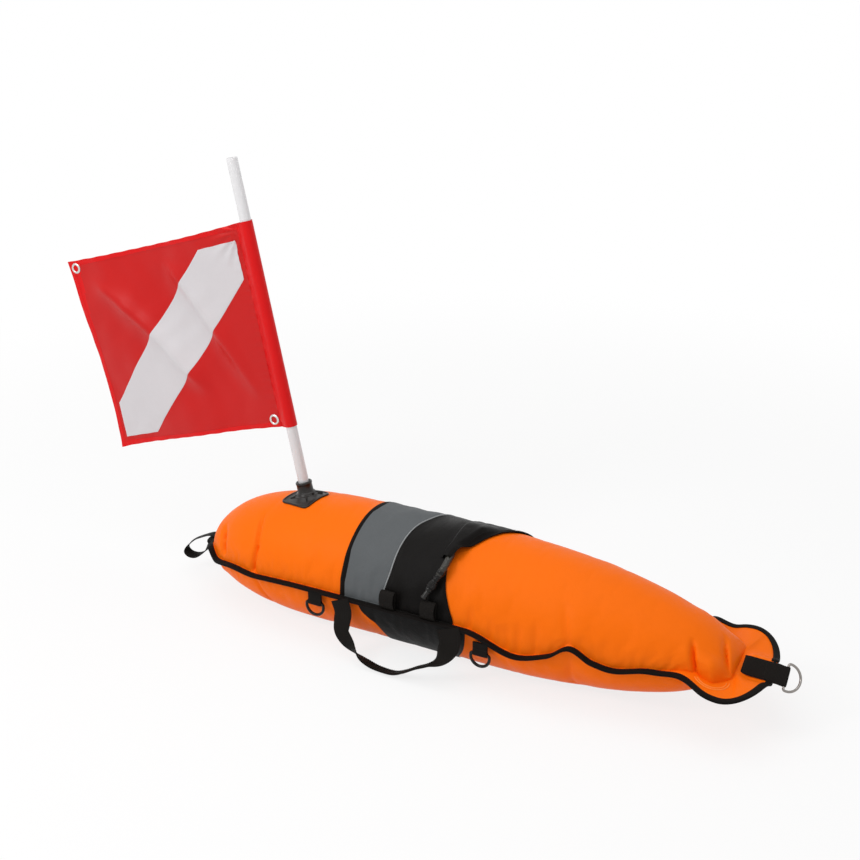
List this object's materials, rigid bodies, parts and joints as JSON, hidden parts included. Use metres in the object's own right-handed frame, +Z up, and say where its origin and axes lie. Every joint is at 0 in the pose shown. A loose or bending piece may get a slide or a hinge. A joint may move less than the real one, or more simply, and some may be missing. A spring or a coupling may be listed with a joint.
{
  "type": "diver's surface float with flag",
  "caption": "Inflatable torpedo-shaped diver's surface float in orange fabric, with a dive flag on a leaning mast, a carry strap, D-rings and an oral inflator.",
  "frame": {"origin": "middle of the flat patch under the belly, on the floor, below the middle of the sewn seam's length", "axes": "+X along the float towards its bow, the end with the steel ring; +Z up; the carry strap hangs on the -Y side"},
  "size_m": [1.3269, 0.2819, 0.7724],
  "materials": {
    "orange_nylon": "bright orange coated nylon, plain weave with a soft sheen",
    "bladder_film": "pale flexible film",
    "grey_nylon": "dark grey coated nylon, matt",
    "black_nylon": "black coarse nylon, matt",
    "black_webbing": "black woven webbing, matt",
    "reflective_piping": "silvery grey reflective piping",
    "black_rubber": "black moulded rubber with a low gloss",
    "clear_tube": "milky translucent tube, cut square",
    "red_cloth": "red nylon cloth with doubled hems",
    "white_cloth": "white nylon cloth, slightly pink over the red",
    "steel": "polished stainless steel",
    "black_plastic": "black moulded plastic",
    "grey_hose": "smoky grey soft tube"
  },
  "bodies": {
    "float": {"cover_upper": "orange_nylon", "cover_lower": "orange_nylon", "inner_bladder": "bladder_film", "seam_binding": "black_webbing", "panel_edge_binding": "black_webbing", "grey_panel": "grey_nylon", "reflective_piping": "reflective_piping", "black_panel": "black_nylon", "inflator_flap": "black_nylon", "lower_patch": "black_nylon", "mast_socket": "black_rubber", "near_stern_tab": "black_webbing", "near_bow_tab": "black_webbing", "far_stern_tab": "black_webbing", "far_bow_tab": "black_webbing", "bow_strap": "black_webbing", "stern_loop": "black_webbing", "standing_loop_stern": "black_webbing", "standing_loop_bow": "black_webbing", "inflator_port": "black_rubber"},
    "mast": {"flag_mast": "clear_tube"},
    "flag": {"flag_cloth": "red_cloth", "flag_stripe_near": "white_cloth", "flag_stripe_far": "white_cloth", "flag_grommet_1": "steel", "flag_grommet_2": "steel"},
    "near_stern_ring": {"near_stern_ring": "black_plastic"},
    "near_bow_ring": {"near_bow_ring": "black_plastic"},
    "far_stern_ring": {"far_stern_ring": "black_plastic"},
    "far_bow_ring": {"far_bow_ring": "black_plastic"},
    "bow_ring": {"bow_ring": "steel"},
    "handle": {"carry_handle": "black_webbing"},
    "inflator": {"inflator_hose": "grey_hose", "hose_clamp": "black_plastic", "valve_body": "black_plastic", "valve_spring": "steel"},
    "lock_ring": {"lock_ring": "black_plastic"},
    "mouthpiece": {"mouthpiece": "grey_hose", "valve_stem": "black_plastic", "valve_seal": "black_rubber"}
  },
  "joints": [
    {"name": "mast_lift", "type": "slide", "parent": "float", "child": "mast", "axis": [-0.2045, 0, 0.9789], "range_m": [0, 0.03]},
    {"name": "flag_swing", "type": "hinge", "parent": "mast", "child": "flag", "pos_m": [-0.306, 0, 0.20327], "axis": [-0.2045, 0, 0.9789], "continuous": true},
    {"name": "near_stern_ring_swing", "type": "hinge", "parent": "float", "child": "near_stern_ring", "pos_m": [-0.218, -0.12042, 0.07809], "axis": [-1, 0, 0], "range_deg": [-18, 125]},
    {"name": "near_bow_ring_swing", "type": "hinge", "parent": "float", "child": "near_bow_ring", "pos_m": [0.083, -0.11948, 0.06587], "axis": [-1, 0, 0], "range_deg": [-18, 125]},
    {"name": "far_stern_ring_swing", "type": "hinge", "parent": "float", "child": "far_stern_ring", "pos_m": [-0.218, 0.12042, 0.07809], "axis": [1, 0, 0], "range_deg": [-18, 125]},
    {"name": "far_bow_ring_swing", "type": "hinge", "parent": "float", "child": "far_bow_ring", "pos_m": [0.083, 0.11948, 0.06587], "axis": [1, 0, 0], "range_deg": [-18, 125]},
    {"name": "bow_ring_swing", "type": "hinge", "parent": "float", "child": "bow_ring", "pos_m": [0.5265, 0, 0.0885], "axis": [0, 0.6947, 0.7193], "range_deg": [-128, 80]},
    {"name": "handle_swing", "type": "hinge", "parent": "float", "child": "handle", "pos_m": [-0.166, -0.1274, 0.1005], "axis": [-1, 0, 0], "range_deg": [0, 150]},
    {"name": "inflator_lift", "type": "hinge", "parent": "float", "child": "inflator", "pos_m": [0.012, -0.06882, 0.19705], "axis": [-1, 0, 0], "range_deg": [0, 60]},
    {"name": "lock_ring_turn", "type": "hinge", "parent": "inflator", "child": "lock_ring", "pos_m": [0.001, -0.10063, 0.17397], "axis": [-0.3994, -0.4383, -0.8052], "range_deg": [0, 90]},
    {"name": "mouthpiece_press", "type": "slide", "parent": "inflator", "child": "mouthpiece", "axis": [0.3994, 0.4383, 0.8052], "range_m": [0, 0.004], "stiffness_N_per_m": 600, "springref_m": -0.002, "deforming": ["valve_spring"]}
  ]
}
